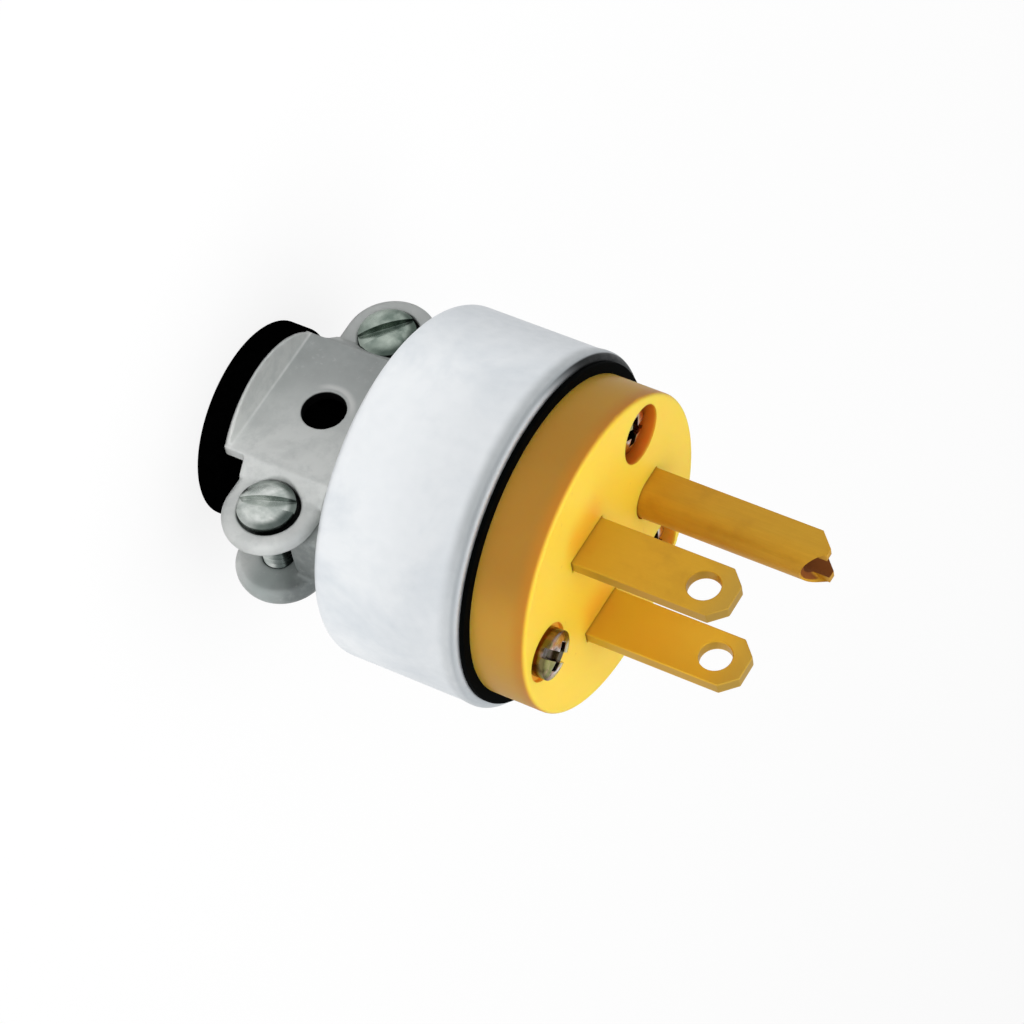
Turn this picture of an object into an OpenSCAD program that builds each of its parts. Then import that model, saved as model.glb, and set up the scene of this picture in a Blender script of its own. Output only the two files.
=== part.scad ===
// Metal-clad grounding plug with two flat blades, a U-shaped ground pin,
// a drawn steel shell and a two-screw cord clamp over a rubber bushing.
// The plug stands on the end of its bushing with the prongs up, in millimetres.
// +Y points from the axis to the ground pin and +X to the line blade.

/* [Blades] */
// Width of each flat blade
blade_w = 6.35; // [5.6:0.05:7.6]
// Thickness of each flat blade
blade_t = 1.5; // [1.2:0.05:1.8]
// Distance between the middles of the two blades
blade_pitch = 12.7; // [12.4:0.1:14]
// Place of the blade row, measured from the plug axis
blade_row_y = -3.45; // [-4.5:0.05:-2.5]
// Length of blade in front of the face
blade_reach = 17.2; // [14:0.1:19]
// Corner cut at the blade tips
blade_tip_cut = 1.7; // [0.8:0.1:2.2]
// Diameter of the hole near each blade tip
blade_hole_d = 3.6; // [2.8:0.1:4]
// Distance from the blade tip to the middle of its hole
blade_hole_setback = 3.6; // [3:0.1:5.5]
// How far the blade widens on each side inside the body
blade_shoulder = 0.9; // [0.5:0.1:1.4]

/* [Ground pin] */
// Distance from the blade row to the middle of the ground pin
pin_offset = 11.7; // [11.5:0.1:12.2]
// Outside width of the folded pin
pin_w = 4.8; // [4.4:0.1:5.2]
// Height of the straight legs above the round spine's centre
pin_leg = 2.2; // [1.8:0.1:2.6]
// Sheet thickness of the pin
pin_t = 0.9; // [0.8:0.05:1.2]
// Length of pin in front of the face
pin_reach = 21.4; // [19:0.1:23]
// Corner cut at the open edges of the tip
pin_tip_cut = 1.75; // [0.8:0.05:2]
// Radius of the round notch in the spine at the tip
pin_notch_r = 2.35; // [1.6:0.05:2.4]

/* [Front face] */
// Step from the edge of the liner's lip to the plastic front face
face_step = 1.2; // [0.7:0.05:1.5]
// Thickness of the plastic front face
face_t = 6.45; // [6:0.05:9]
// Rounding of the front edge
face_edge_r = 0.5; // [0.2:0.1:1.2]

/* [Armour shell] */
// Outside diameter of the drawn shell
shell_d = 39.4; // [39.2:0.1:42]
// Length of the shell from its back to its rim
shell_len = 17.8; // [17.2:0.1:24]
// Sheet thickness of the shell
shell_wall = 1.2; // [1.05:0.05:1.3]
// Rounding of the back shoulder
shell_shoulder_r = 2.2; // [1.8:0.1:2.6]
// Height of the rolled bead round the rim
rim_bead = 0.1; // [0.05:0.05:0.3]
// Length of the rolled bead
rim_bead_len = 1.3; // [0.8:0.1:2.5]
// Rounding of the rim's outer edge
rim_edge_r = 0.9; // [0.3:0.05:1]

/* [Liner] */
// Wall thickness of the insulating liner
liner_wall = 1.0; // [0.8:0.1:1.2]
// Floor thickness of the insulating liner
liner_floor = 1.0; // [0.6:0.1:1.6]
// Thickness of the liner's lip over the shell rim
liner_lip_t = 0.55; // [0.4:0.05:1]
// Diameter of the wire opening in the liner's floor
wire_opening_d = 19; // [14:0.5:20]

/* [Terminals] */
// Thickness of the terminal block behind the face
block_t = 8.2; // [7.6:0.1:8.6]
// Length of each blade's bent tab, from the blade's middle
tab_len = 7.6; // [7.2:0.1:8]
// Distance from the blade's middle to its terminal screw
terminal_offset = 4.4; // [4.2:0.1:4.6]
// Diameter of the terminal screws
terminal_screw_d = 3.5; // [3:0.1:3.8]
// Depth of the terminal screws in the block
terminal_screw_bite = 3.2; // [2:0.1:4]
// Space left under the tip of each terminal screw
pilot_spare = 0.6; // [0.2:0.1:1]
// Head diameter of the terminal screws
terminal_head_d = 6.2; // [5.6:0.1:6.6]
// Head height of the terminal screws
terminal_head_h = 1.7; // [1.2:0.1:1.9]
// Side of the square wire plates
wire_plate_w = 6.6; // [6:0.1:7]
// Thickness of the wire plates
wire_plate_t = 0.8; // [0.6:0.1:0.9]

/* [Assembly screws] */
// Distance from the liner's inner wall to the middle of each assembly screw
assembly_inset = 3.95; // [3.55:0.05:4.35]
// Angle from the ground pin to each screw beside it
assembly_angle = 49; // [45:1:55]
// Diameter of the assembly screws
assembly_screw_d = 3.5; // [3:0.1:3.6]
// Head diameter of the assembly screws
assembly_head_d = 5.5; // [5.2:0.1:6]
// Head height of the assembly screws
assembly_head_h = 2.0; // [1.6:0.1:2.4]
// Clearance round the heads in their counterbores
head_clearance = 0.55; // [0.2:0.05:0.8]
// Depth of the two upper heads below the face
upper_head_depth = 0.7; // [0.2:0.1:2.6]
// Depth of the lower head below the face, negative where it stands proud
lower_head_depth = -1.5; // [-1.7:0.1:2.6]
// Depth of the assembly holes' floor in the clamp's flange
flange_skin = 0.2; // [0.1:0.05:0.6]
// Space left under the tip of each assembly screw
screw_tip_space = 0.2; // [0.1:0.05:0.6]
// Radius of the block's pillars round the assembly screws
pillar_r = 3.2; // [2.8:0.1:3.4]

/* [Cord clamp] */
// Length of the clamp from the bushing to the shell
clamp_len = 16.5; // [16.3:0.1:20]
// Distance between the two clamp screws
clamp_screw_span = 25; // [24.4:0.1:26]
// Distance from the bushing to the clamp screws
clamp_screw_setback = 7.4; // [6.9:0.1:7.5]
// Diameter of the clamp screws
clamp_screw_d = 3.5; // [3:0.1:4]
// Head diameter of the clamp screws
clamp_head_d = 5.8; // [5.4:0.1:6.2]
// Head height of the clamp screws
clamp_head_h = 1.9; // [1.5:0.1:2.4]
// Recess of the clamp heads in the ears
clamp_head_recess = 0.8; // [0.2:0.1:0.9]
// Clearance round the clamp heads in their recesses
recess_clearance = 0.55; // [0.2:0.05:0.7]
// How far the ears and recesses sit beyond the clamp screws, towards the shell
ear_shift = 0.4; // [0:0.05:0.5]
// How far the clamp screws stick out behind the jaw
clamp_screw_stickout = 0.8; // [0.2:0.1:2]
// Radius of the rounded ears
ear_r = 5.2; // [4.8:0.1:5.4]
// Gap between the ears of the saddle and of the jaw
ear_gap = 7.0; // [6:0.1:8]
// Sheet thickness of the saddle
saddle_t = 1.5; // [1.2:0.1:1.8]
// Width of the saddle's raised middle
saddle_w = 17.0; // [16:0.1:18]
// Diameter of the hole in the saddle
saddle_hole_d = 4.9; // [3.5:0.1:6]
// Radius of the upturned end lips
end_lip_r = 10.6; // [9.6:0.1:10.8]
// Thickness of the upturned end lips at their edge
end_lip_t = 0.4; // [0.3:0.1:1.6]
// Thickness of the upturned end lips at their root
end_lip_root_t = 0.7; // [0.5:0.1:2.4]
// Diameter of the round neck behind the shell
neck_d = 28.6; // [27:0.1:29]
// Length of the neck outside the shell
neck_len = 5.8; // [5:0.1:6.4]
// Length of the neck's full ring outside the shell
neck_ring_len = 1.2; // [0.8:0.1:2]
// Diameter of the hollow in the neck
neck_bore_d = 20.4; // [16:0.1:21]
// Thickness of the flange inside the shell
flange_t = 2.4; // [2:0.1:3]

/* [Cord bushing] */
// Diameter of the bushing's flange
bushing_d = 22.0; // [20:0.1:24]
// Thickness of the bushing's flange
bushing_flange_t = 2.9; // [2.4:0.1:4]
// Outside diameter of the bushing's sleeve
sleeve_d = 10.0; // [9:0.1:10.4]
// Length of the sleeve beyond the flange
sleeve_len = 13.9; // [10:0.1:14.1]
// Diameter of the cord opening
cord_d = 7.6; // [6:0.1:8]

/* [Fits] */
// Clearance round pieces that slip together
slip_gap = 0.15; // [0.1:0.01:0.2]
// Clearance between a screw and its tapped hole
thread_gap = 0.05; // [0.02:0.01:0.1]

/* [Hidden] */
$fn = 96;

// Colours
face_yellow = [0.96, 0.78, 0.25];
block_grey = [0.25, 0.25, 0.27];
liner_black = [0.04, 0.04, 0.04];
shell_white = [0.88, 0.9, 0.92];
prong_brass = [0.78, 0.57, 0.13];
plate_steel = [0.7, 0.71, 0.72];
silver_screw = [0.76, 0.77, 0.78];
brass_screw = [0.8, 0.62, 0.25];
green_screw = [0.12, 0.42, 0.2];
chromate_screw = [0.72, 0.62, 0.36];
clamp_grey = [0.73, 0.74, 0.73];
rubber_black = [0.02, 0.02, 0.02];

// A cut reaches this far past the face that it opens
past = 1;

// Levels from the bushing up to the prong tips
clamp_z = bushing_flange_t;
shell_z = clamp_z + clamp_len;
flange_z = shell_z + shell_wall;
liner_z = flange_z + flange_t;
floor_top_z = liner_z + liner_floor;
rim_z = shell_z + shell_len;
face_z = rim_z + liner_lip_t;
front_z = face_z + face_t;
block_z = face_z - block_t;
neck_z = shell_z - neck_len;
clamp_screw_z = clamp_z + clamp_screw_setback;
ear_z = clamp_screw_z + ear_shift;
neck_ring_z = shell_z - neck_ring_len;
neck_floor_z = neck_ring_z + saddle_t;
saddle_end_z = neck_ring_z - slip_gap;

// Radii of the nested round pieces
shell_r = shell_d / 2;
shell_bore_r = shell_r - shell_wall;
shell_corner_r = shell_shoulder_r - shell_wall;
liner_r = shell_bore_r - slip_gap;
liner_bore_r = liner_r - liner_wall;
liner_lip_r = shell_r + rim_bead - rim_edge_r;
face_r = liner_lip_r - face_step;
block_r = liner_bore_r - slip_gap;
assembly_circle_r = liner_bore_r - assembly_inset;
flange_r = shell_bore_r - shell_corner_r - slip_gap;
neck_r = neck_d / 2;
sleeve_r = sleeve_d / 2;
channel_r = sleeve_r + slip_gap;

// Clamp heights on both sides of the cord
ear_face = ear_gap / 2;
saddle_ear_top = ear_face + saddle_t;
saddle_top = channel_r + saddle_t;
clamp_seat = saddle_ear_top - clamp_head_recess;
jaw_bottom = saddle_top;
jaw_t = jaw_bottom - ear_face;
jaw_edge_r = jaw_t * 0.7;
jaw_beam_t = jaw_t * 0.55;
jaw_top_r = jaw_t * 0.25;
ear_edge_r = saddle_t * 0.6;
saddle_edge_y = saddle_w / 2;
clamp_screw_y = clamp_screw_span / 2;
clamp_screw_len = clamp_seat + jaw_bottom + clamp_screw_stickout;

// Screwdriver slots
slot_w = 1.1;
clamp_slot_w = 1.4;
slot_depth = 0.9;
clamp_slot_depth = 1.0;
cross_len = 3.2;
cross_depth = 1.3;
upper_slot_angle = 45;
lower_slot_angle = 20;
assembly_slot_angles = [63, 63, 33];

// Share of a head's height below its dome
flat_dome = 0.75;
high_dome = 0.66;

// Terminals
pin_y = blade_row_y + pin_offset;
pin_r = pin_w / 2;
pin_tab_y = pin_y - pin_r;
blade_body_w = blade_w + 2 * blade_shoulder;
pin_screw_y = pin_tab_y - wire_plate_w / 2;
pin_tab_end_y = pin_screw_y - wire_plate_w / 2;
assembly_spots = [[-assembly_circle_r * sin(assembly_angle), assembly_circle_r * cos(assembly_angle)],
    [assembly_circle_r * sin(assembly_angle), assembly_circle_r * cos(assembly_angle)],
    [0, -assembly_circle_r]];
assembly_depths = [upper_head_depth, upper_head_depth, lower_head_depth];
pilot_r = terminal_screw_d / 2 + slip_gap;
pilot_bite = terminal_screw_bite + pilot_spare;

// Half section of a round body whose bottom corner is rounded
module rounded_half(r, bottom, top, corner_r) {
    translate([0, bottom + corner_r]) square([r, top - bottom - corner_r]);
    translate([0, bottom]) square([r - corner_r, corner_r + 0.01]);
    translate([r - corner_r, bottom + corner_r]) circle(r = corner_r);
}

// Waste outside a rounded outer corner at the origin, which opens to +X and +Y
module corner_waste(corner_r) {
    difference() {
        square(corner_r + past);
        circle(r = corner_r);
    }
}

// Round puck with a rounded top edge, standing on its flat side
module soft_puck(r, h, edge_r) {
    rotate_extrude() difference() {
        square([r, h]);
        translate([r - edge_r, h - edge_r]) corner_waste(edge_r);
    }
}

// Round puck with both of its edges rounded
module round_puck(r, h, edge_r, base_r) {
    rotate_extrude() difference() {
        square([r, h]);
        translate([r - edge_r, h - edge_r]) corner_waste(edge_r);
        translate([r - base_r, base_r]) mirror([0, 1]) corner_waste(base_r);
    }
}

// Bar along +Y with two rounded top edges, standing on its flat side
module soft_bar(length, width, h, edge_r) {
    translate([0, length, 0]) rotate([90, 0, 0]) linear_extrude(length) difference() {
        translate([-width / 2, 0]) square([width, h]);
        for (side = [0, 1])
            mirror([side, 0]) translate([width / 2 - edge_r, h - edge_r]) corner_waste(edge_r);
    }
}

// Turns a shape whose up is +Z so that its up is -X, with its own +X along +Z
module face_left() {
    rotate([0, -90, 0]) children();
}

// Domed screw head standing on its seat
module domed_head(d, h, rim_share) {
    rim_h = h * rim_share;
    dome_h = h - rim_h;
    dome_r = (d * d / 4 + dome_h * dome_h) / (2 * dome_h);
    rotate_extrude() {
        square([d / 2, rim_h]);
        intersection() {
            translate([0, h - dome_r]) circle(r = dome_r);
            translate([0, rim_h - 0.01]) square([d / 2, dome_h + past]);
        }
    }
}

// Slotted screw with its seat at z = 0 and its shank down
module slotted_screw(d, length, head_d, head_h, slot_angle, width, depth, rim_share) {
    difference() {
        union() {
            domed_head(head_d, head_h, rim_share);
            translate([0, 0, -length]) cylinder(d = d, h = length + 0.01);
        }
        rotate([0, 0, slot_angle]) translate([-head_d, -width / 2, head_h - depth])
            cube([2 * head_d, width, depth + past]);
    }
}

// Screw with a slot and a cross recess in its head
module assembly_screw(index) {
    seat_z = front_z - assembly_depths[index] - assembly_head_h;
    length = seat_z - flange_z - flange_skin - screw_tip_space;
    slot_angle = assembly_slot_angles[index];
    translate([assembly_spots[index][0], assembly_spots[index][1], seat_z]) difference() {
        slotted_screw(assembly_screw_d, length, assembly_head_d, assembly_head_h, slot_angle,
            slot_w, slot_depth, flat_dome);
        for (turn = [0, 90])
            rotate([0, 0, slot_angle + turn])
                translate([-cross_len / 2, -slot_w / 2, assembly_head_h - cross_depth])
                    cube([cross_len, slot_w, cross_depth + past]);
    }
}

// Outline of the folded ground pin, solid, with an allowance all round
module pin_outline(gap) {
    translate([0, pin_y]) {
        circle(r = pin_r + gap);
        translate([-pin_r - gap, 0]) square([pin_w + 2 * gap, pin_leg + gap]);
    }
}

// Section of the folded ground pin
module pin_section() {
    difference() {
        pin_outline(0);
        translate([0, pin_y]) {
            circle(r = pin_r - pin_t);
            translate([pin_t - pin_r, 0]) square([pin_w - 2 * pin_t, pin_leg + past]);
        }
    }
}

// Plastic tongue that fills the folded pin
module pin_tongue() {
    tongue_r = pin_r - pin_t - slip_gap;
    translate([0, pin_y]) {
        circle(r = tongue_r);
        translate([-tongue_r, 0]) square([2 * tongue_r, pin_leg + 2 * slip_gap]);
    }
}

// Slots for the three prongs
module prong_slots(width) {
    for (side = [-1, 1])
        translate([side * blade_pitch / 2, blade_row_y])
            square([blade_t + 2 * slip_gap, width + 2 * slip_gap], center = true);
    difference() {
        pin_outline(slip_gap);
        pin_tongue();
    }
}

module front_face() {
    bore_d = assembly_screw_d + 2 * slip_gap;
    head_bore_d = assembly_head_d + 2 * head_clearance;
    color(face_yellow) difference() {
        translate([0, 0, face_z]) soft_puck(face_r, face_t, face_edge_r);
        translate([0, 0, face_z - past]) linear_extrude(face_t + 2 * past) prong_slots(blade_w);
        for (index = [0:2])
            translate([assembly_spots[index][0], assembly_spots[index][1], 0]) {
                translate([0, 0, face_z - past]) cylinder(d = bore_d, h = face_t + 2 * past);
                translate([0, 0, front_z - assembly_depths[index] - assembly_head_h])
                    cylinder(d = head_bore_d, h = assembly_depths[index] + assembly_head_h + past);
            }
    }
}

// Block that carries the prongs, on three hollow pillars
module terminal_block() {
    bore_d = assembly_screw_d + 2 * slip_gap;
    color(block_grey) difference() {
        union() {
            translate([0, 0, block_z]) cylinder(r = block_r, h = block_t);
            for (spot = assembly_spots)
                translate([spot[0], spot[1], floor_top_z])
                    cylinder(r = pillar_r, h = block_z - floor_top_z + 0.01);
        }
        translate([0, 0, block_z - past]) linear_extrude(block_t + 2 * past) prong_slots(blade_body_w);
        for (spot = assembly_spots)
            translate([spot[0], spot[1], floor_top_z - past])
                cylinder(d = bore_d, h = face_z - floor_top_z + 2 * past);
        for (side = [-1, 1])
            translate([side * (blade_pitch / 2 + terminal_offset), blade_row_y, block_z - past])
                cylinder(r = pilot_r, h = pilot_bite + past);
        translate([0, pin_screw_y, block_z - past]) cylinder(r = pilot_r, h = pilot_bite + past);
    }
}

// Cup that insulates the terminals from the shell, with a lip over the rim
module insulating_liner() {
    bore_r = assembly_screw_d / 2 + slip_gap;
    color(liner_black) difference() {
        rotate_extrude() difference() {
            union() {
                rounded_half(liner_r, liner_z, face_z, shell_shoulder_r);
                translate([0, rim_z]) square([liner_lip_r, liner_lip_t]);
            }
            translate([0, floor_top_z]) square([liner_bore_r, face_z - floor_top_z + past]);
            translate([0, liner_z - past]) square([wire_opening_d / 2, liner_floor + 2 * past]);
        }
        for (spot = assembly_spots)
            translate([spot[0], spot[1], liner_z - past]) cylinder(r = bore_r, h = liner_floor + 2 * past);
    }
}

// Drawn cup, open at the front, with a bead rolled round its rim
module armour_shell() {
    bead_r = shell_r + rim_bead;
    bead_z = rim_z - rim_bead_len;
    color(shell_white) rotate_extrude() difference() {
        union() {
            rounded_half(shell_r, shell_z, rim_z, shell_shoulder_r);
            polygon([[0, bead_z - rim_bead_len / 2], [shell_r, bead_z - rim_bead_len / 2],
                [bead_r, bead_z], [bead_r, rim_z], [0, rim_z]]);
        }
        rounded_half(shell_bore_r, flange_z, rim_z + past, shell_corner_r);
        translate([bead_r - rim_edge_r, rim_z - rim_edge_r]) corner_waste(rim_edge_r);
        translate([0, shell_z - past]) square([neck_r + slip_gap, shell_wall + 2 * past]);
    }
}

// Flat blade for the +X side, with a bent tab behind the block
module blade() {
    tip_z = front_z + blade_reach;
    tab_z = block_z - blade_t;
    blade_x = blade_pitch / 2;
    hole_d = terminal_screw_d + 2 * thread_gap;
    difference() {
        union() {
            translate([blade_x + blade_t / 2, blade_row_y, 0]) rotate([90, 0, -90]) linear_extrude(blade_t)
                polygon([[-blade_w / 2, face_z - past], [blade_w / 2, face_z - past],
                    [blade_w / 2, tip_z - blade_tip_cut], [blade_w / 2 - blade_tip_cut, tip_z],
                    [blade_tip_cut - blade_w / 2, tip_z], [-blade_w / 2, tip_z - blade_tip_cut]]);
            translate([blade_x, blade_row_y + blade_body_w / 2, 0]) rotate([90, 0, 0])
                linear_extrude(blade_body_w) difference() {
                    union() {
                        translate([-blade_t / 2, tab_z]) square([blade_t, face_z - tab_z]);
                        translate([-blade_t / 2, tab_z]) square([tab_len + blade_t / 2, blade_t]);
                    }
                    translate([blade_t / 2, block_z]) rotate(180) corner_waste(blade_t);
                }
        }
        translate([blade_x - blade_t, blade_row_y, tip_z - blade_hole_setback]) rotate([0, 90, 0])
            cylinder(d = blade_hole_d, h = 2 * blade_t);
        translate([blade_x + terminal_offset, blade_row_y, tab_z - past])
            cylinder(d = hole_d, h = blade_t + 2 * past);
    }
}

module line_blade() {
    color(prong_brass) blade();
}

module neutral_blade() {
    color(prong_brass) mirror([1, 0, 0]) blade();
}

// Pin folded to a U from one sheet, with a flat tab towards the plug axis
module ground_pin() {
    tip_z = front_z + pin_reach;
    open_y = pin_y + pin_leg;
    notch_y = pin_y - sqrt(max(pin_r * pin_r - pin_notch_r * pin_notch_r, 0)) - thread_gap;
    hole_d = terminal_screw_d + 2 * thread_gap;
    color(prong_brass) {
        difference() {
            intersection() {
                translate([0, 0, block_z]) linear_extrude(tip_z - block_z) pin_section();
                translate([pin_w, 0, 0]) rotate([90, 0, -90]) linear_extrude(2 * pin_w)
                    mirror([1, 0]) polygon([[pin_tab_y, block_z], [open_y, block_z],
                        [open_y, tip_z - pin_tip_cut], [open_y - pin_tip_cut, tip_z], [pin_tab_y, tip_z]]);
            }
            translate([0, notch_y, tip_z]) rotate([90, 0, 0]) cylinder(r = pin_notch_r, h = pin_w);
        }
        difference() {
            translate([-pin_r, pin_tab_end_y, block_z - pin_t]) cube([pin_w, pin_y - pin_tab_end_y, pin_t]);
            translate([0, pin_screw_y, block_z - pin_t - past]) cylinder(d = hole_d, h = pin_t + 2 * past);
        }
    }
}

// Square plate that presses a wire against its tab, with a raised back edge
module wire_plate(x, y, tab_t) {
    color(plate_steel) translate([x, y, block_z - tab_t - wire_plate_t]) difference() {
        translate([-wire_plate_w / 2, -wire_plate_w / 2, 0]) cube([wire_plate_w, wire_plate_w, wire_plate_t]);
        translate([0, 0, -past]) cylinder(d = terminal_screw_d + 2 * slip_gap, h = wire_plate_t + 2 * past);
    }
}

module neutral_wire_plate() {
    wire_plate(-blade_pitch / 2 - terminal_offset, blade_row_y, blade_t);
}

module line_wire_plate() {
    wire_plate(blade_pitch / 2 + terminal_offset, blade_row_y, blade_t);
}

module ground_wire_plate() {
    wire_plate(0, pin_screw_y, pin_t);
}

// Terminal screw with its head towards the cord
module terminal_screw(x, y, tab_t) {
    grip = tab_t + wire_plate_t;
    translate([x, y, block_z - grip]) rotate([180, 0, 0])
        slotted_screw(terminal_screw_d, grip + terminal_screw_bite, terminal_head_d, terminal_head_h, 0,
            slot_w, slot_depth, flat_dome);
}

module neutral_terminal_screw() {
    color(silver_screw) terminal_screw(-blade_pitch / 2 - terminal_offset, blade_row_y, blade_t);
}

module line_terminal_screw() {
    color(brass_screw) terminal_screw(blade_pitch / 2 + terminal_offset, blade_row_y, blade_t);
}

module ground_terminal_screw() {
    color(green_screw) terminal_screw(0, pin_screw_y, pin_t);
}

module assembly_screw_near() {
    color(chromate_screw) assembly_screw(0);
}

module assembly_screw_far() {
    color(chromate_screw) assembly_screw(1);
}

module assembly_screw_low() {
    color(chromate_screw) assembly_screw(2);
}

// Segment of a round lip beyond a height above the cord, thin at its edge, drawn towards +X
module end_lip(inner) {
    translate([0, 0, clamp_z]) intersection() {
        cylinder(r = end_lip_r, h = end_lip_root_t);
        translate([0, saddle_edge_y, 0]) rotate([90, 0, 0]) linear_extrude(saddle_w)
            polygon([[inner, 0], [end_lip_r, 0], [end_lip_r, end_lip_t], [saddle_top, end_lip_root_t],
                [inner, end_lip_root_t]]);
    }
}

// Cast base: flange in the shell, round neck and lower jaw with tapped ears
module clamp_base() {
    ear_hole_d = clamp_screw_d + 2 * thread_gap;
    flange_hole_d = assembly_screw_d + 2 * thread_gap;
    color(clamp_grey) difference() {
        union() {
            translate([0, 0, flange_z]) cylinder(r = flange_r, h = flange_t);
            difference() {
                translate([0, 0, neck_z]) cylinder(r = neck_r, h = flange_z - neck_z + 0.01);
                translate([-neck_d - ear_face + slip_gap, -neck_d, neck_z - past])
                    cube([neck_d, 2 * neck_d, neck_ring_z - neck_z + past]);
            }
            translate([ear_face, -saddle_edge_y, clamp_z]) cube([jaw_t, saddle_w, neck_z - clamp_z + past]);
            translate([ear_face + jaw_beam_t, -clamp_screw_y, ear_z]) face_left()
                soft_bar(clamp_screw_span, 2 * ear_r, jaw_beam_t, jaw_top_r);
            for (side = [-1, 1])
                translate([ear_face, side * clamp_screw_y, ear_z]) rotate([0, 90, 0])
                    round_puck(ear_r, jaw_t, jaw_edge_r, jaw_top_r);
            end_lip(ear_face);
        }
        translate([0, 0, neck_floor_z]) cylinder(d = neck_bore_d, h = liner_z - neck_floor_z + past);
        translate([0, 0, clamp_z - past]) cylinder(r = channel_r, h = neck_floor_z - clamp_z + 2 * past);
        for (side = [-1, 1])
            translate([0, side * clamp_screw_y, clamp_screw_z]) rotate([0, 90, 0])
                cylinder(d = ear_hole_d, h = jaw_bottom + past);
        for (spot = assembly_spots)
            translate([spot[0], spot[1], flange_z + flange_skin])
                cylinder(d = flange_hole_d, h = flange_t + past);
    }
}

// Pressed saddle: raised middle, stepped ears and an upturned end lip
module clamp_saddle() {
    ear_hole_d = clamp_screw_d + 4 * slip_gap;
    head_recess_d = clamp_head_d + 2 * recess_clearance;
    rise = saddle_top - saddle_ear_top;
    saddle_len = saddle_end_z - clamp_z;
    ramp_y = saddle_edge_y + rise;
    color(clamp_grey) difference() {
        union() {
            translate([-saddle_top, -saddle_edge_y, clamp_z]) cube([saddle_t, saddle_w, saddle_len]);
            mirror([1, 0, 0]) end_lip(channel_r);
            for (side = [0, 1]) mirror([0, side, 0]) {
                translate([0, 0, ear_z - ear_r]) linear_extrude(2 * ear_r)
                    polygon([[-channel_r, saddle_edge_y - saddle_t], [-saddle_top, saddle_edge_y - saddle_t],
                        [-saddle_top, saddle_edge_y], [-saddle_ear_top, ramp_y], [-ear_face, ramp_y],
                        [-ear_face, saddle_edge_y]]);
                translate([-ear_face, saddle_edge_y, ear_z]) face_left()
                    soft_bar(clamp_screw_y - saddle_edge_y, 2 * ear_r, saddle_t, ear_edge_r);
                translate([-ear_face, clamp_screw_y, ear_z]) face_left()
                    soft_puck(ear_r, saddle_t, ear_edge_r);
            }
        }
        translate([-saddle_top - past, 0, clamp_screw_z]) rotate([0, 90, 0])
            cylinder(d = saddle_hole_d, h = saddle_t + 2 * past);
        for (side = [-1, 1])
            translate([-ear_face + past, side * clamp_screw_y, clamp_screw_z]) face_left() {
                cylinder(d = ear_hole_d, h = saddle_t + 2 * past);
                translate([ear_shift, 0, clamp_seat - ear_face + past])
                    cylinder(d = head_recess_d, h = saddle_t + past);
            }
    }
}

// Clamp screw through a saddle ear into the jaw
module clamp_screw(side, slot_angle) {
    color(silver_screw) translate([-clamp_seat, side * clamp_screw_y, clamp_screw_z]) face_left()
        slotted_screw(clamp_screw_d, clamp_screw_len, clamp_head_d, clamp_head_h, slot_angle,
            clamp_slot_w, clamp_slot_depth, high_dome);
}

module clamp_screw_upper() {
    clamp_screw(1, upper_slot_angle);
}

module clamp_screw_lower() {
    clamp_screw(-1, lower_slot_angle);
}

// Rubber bushing: flange at the end of the plug and a sleeve through the clamp
module cord_bushing() {
    flange_r = bushing_d / 2;
    edge_cut = bushing_flange_t * 0.1;
    mouth_cut = 0.5;
    cord_r = cord_d / 2;
    color(rubber_black) rotate_extrude()
        polygon([[cord_r + mouth_cut, 0], [flange_r - edge_cut, 0], [flange_r, edge_cut],
            [flange_r, bushing_flange_t], [sleeve_r, bushing_flange_t],
            [sleeve_r, bushing_flange_t + sleeve_len], [cord_r, bushing_flange_t + sleeve_len],
            [cord_r, mouth_cut]]);
}

front_face();
terminal_block();
insulating_liner();
armour_shell();
neutral_blade();
line_blade();
ground_pin();
neutral_wire_plate();
line_wire_plate();
ground_wire_plate();
neutral_terminal_screw();
line_terminal_screw();
ground_terminal_screw();
assembly_screw_near();
assembly_screw_far();
assembly_screw_low();
clamp_base();
clamp_saddle();
clamp_screw_upper();
clamp_screw_lower();
cord_bushing();
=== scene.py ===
import math

import bmesh
import bpy
from mathutils import Matrix, Vector


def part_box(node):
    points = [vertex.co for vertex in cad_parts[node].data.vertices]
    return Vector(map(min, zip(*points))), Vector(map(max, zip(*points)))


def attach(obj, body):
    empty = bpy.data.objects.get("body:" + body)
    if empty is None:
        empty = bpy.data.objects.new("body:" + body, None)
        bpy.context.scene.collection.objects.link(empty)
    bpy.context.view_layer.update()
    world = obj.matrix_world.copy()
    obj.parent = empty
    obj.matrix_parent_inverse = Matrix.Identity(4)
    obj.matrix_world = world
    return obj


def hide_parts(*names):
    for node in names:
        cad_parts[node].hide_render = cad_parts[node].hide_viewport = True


# Armoured grounding plug, standing on its bushing with the prongs up, in metres
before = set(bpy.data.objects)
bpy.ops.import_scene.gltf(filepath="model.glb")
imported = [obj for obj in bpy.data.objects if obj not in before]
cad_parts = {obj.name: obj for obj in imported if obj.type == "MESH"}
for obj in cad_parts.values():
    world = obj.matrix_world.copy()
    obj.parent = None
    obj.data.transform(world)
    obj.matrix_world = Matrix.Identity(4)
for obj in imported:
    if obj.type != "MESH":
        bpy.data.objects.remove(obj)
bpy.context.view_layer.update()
scene = bpy.context.scene
mm = 0.001
print("plug: frame loaded,", len(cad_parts), "nodes")


# small helpers for shader trees

fromAxis, fromSide, fromLine = (1, 1, 0), (0, 1, 1), (1, 0, 1)  # distances taken across z, x or y
mixShare, mixFirst, mixSecond, mixResult = 0, 6, 7, 2  # sockets of a colour mix
midGrain = (0.3, 0.7)  # where most values of a cloud lie


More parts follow.
